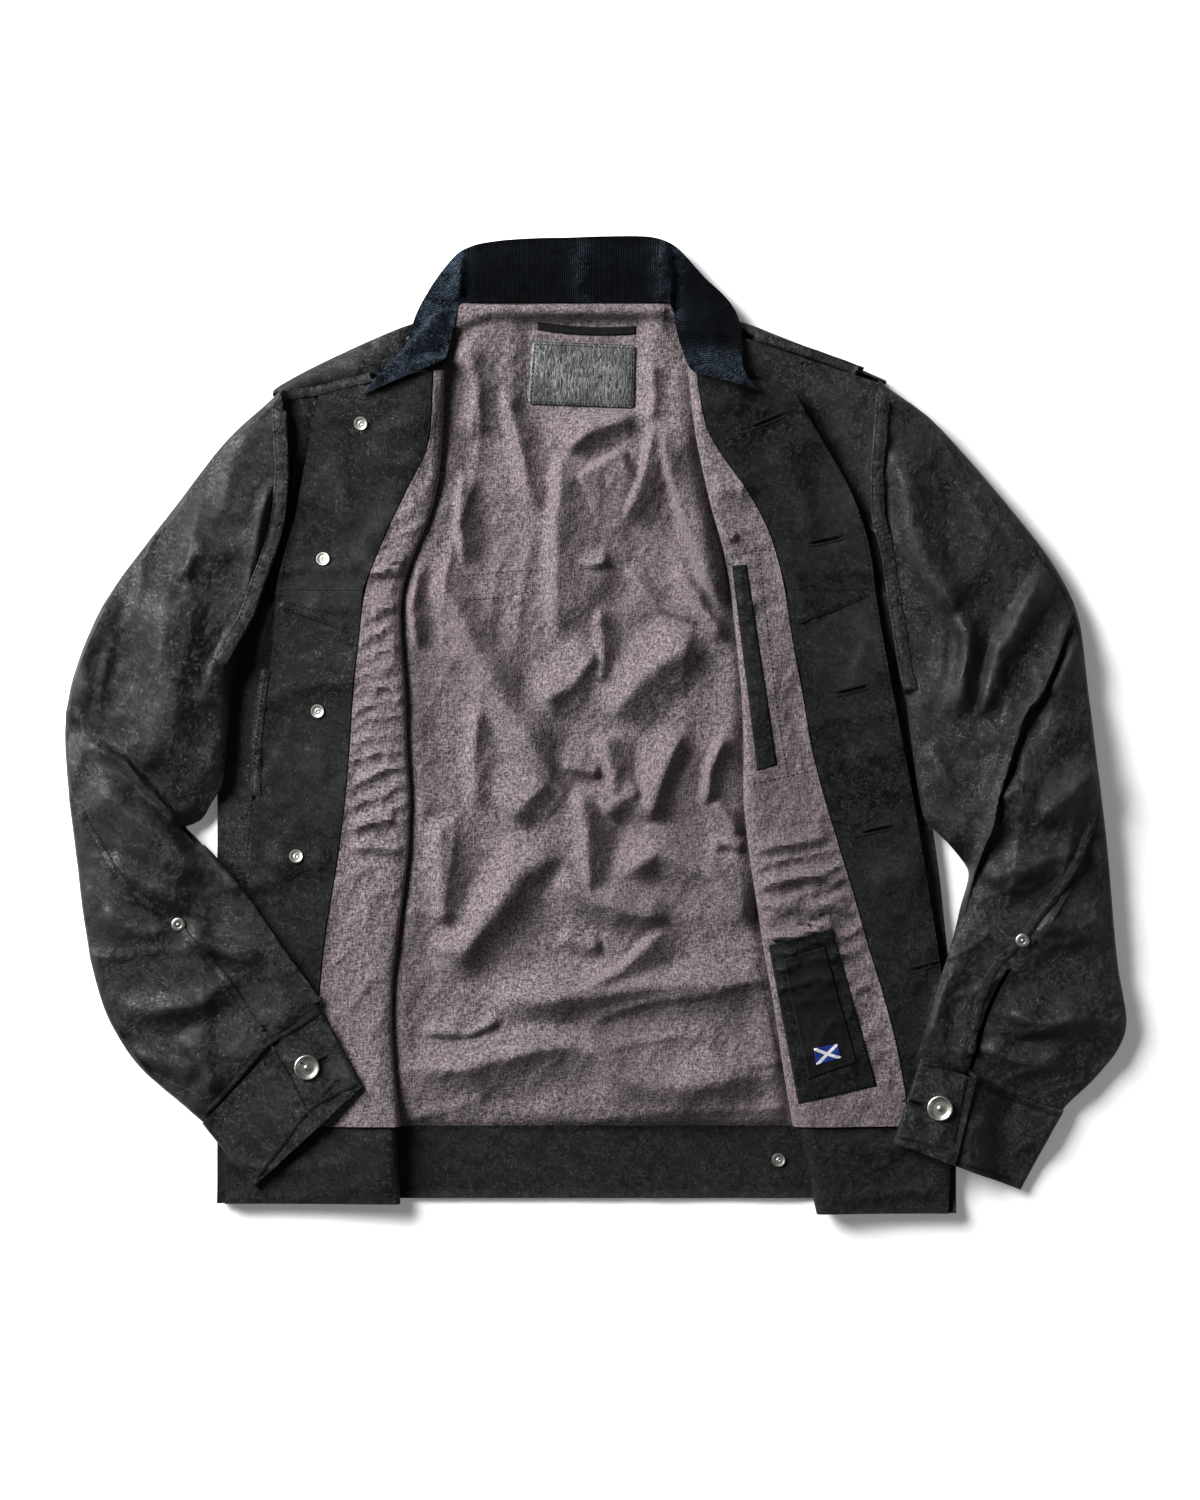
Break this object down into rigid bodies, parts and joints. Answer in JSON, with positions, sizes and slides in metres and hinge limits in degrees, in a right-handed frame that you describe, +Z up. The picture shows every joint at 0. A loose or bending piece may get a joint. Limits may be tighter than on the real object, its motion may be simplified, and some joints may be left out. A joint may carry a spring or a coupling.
{
  "type": "waxed cotton jacket laid open",
  "caption": "Short waxed cotton jacket with a corduroy collar, laid open on its back, fronts turned back over a grey lining and sleeves folded in.",
  "frame": {"origin": "centre of the laid garment on the surface that it rests on", "axes": "+X to the right seen from above with the collar up, along the longest extent; +Y towards the collar; +Z up, away from the surface, along the shortest extent"},
  "size_m": [0.7567, 0.6951, 0.0294],
  "materials": {
    "waxed_cotton": "near-black waxed cotton, soft sheen, scuffed",
    "cotton_facing": "black cotton, waxed inside face, smoother and flatter",
    "lining": "grey-brown chambray, matte plain weave",
    "corduroy": "blue-black fine corduroy",
    "leather": "black grained leather, slight gloss",
    "woven_tape": "black woven tape and damask label",
    "nickel": "satin nickel, lightly worn"
  },
  "bodies": {
    "root": {"back_panel": "waxed_cotton", "back_yoke": "waxed_cotton", "hem_band_back": "cotton_facing", "back_lining": "lining", "front_yoke_left": "waxed_cotton", "front_yoke_right": "waxed_cotton", "front_panel_left": "waxed_cotton", "front_panel_right": "waxed_cotton", "hem_band_left": "cotton_facing", "hem_band_right": "cotton_facing", "front_lining_left": "lining", "front_lining_right": "lining", "facing_upper_left": "cotton_facing", "facing_lower_left": "cotton_facing", "facing_upper_right": "cotton_facing", "facing_lower_right": "cotton_facing", "top_sleeve_left": "waxed_cotton", "top_sleeve_right": "waxed_cotton", "under_sleeve_left": "waxed_cotton", "under_sleeve_right": "waxed_cotton", "cuff_left": "waxed_cotton", "cuff_right": "waxed_cotton", "collar": "corduroy", "leather_label": "leather", "hanger_loop": "woven_tape", "welt_pocket": "cotton_facing", "label_patch": "cotton_facing", "woven_label": "woven_tape", "tack_1": "nickel", "tack_2": "nickel", "tack_3": "nickel", "tack_4": "nickel", "tack_hem": "nickel", "sleeve_rivet_left": "nickel", "sleeve_rivet_right": "nickel", "cuff_button_left": "nickel", "cuff_button_right": "nickel"}
  },
  "joints": []
}
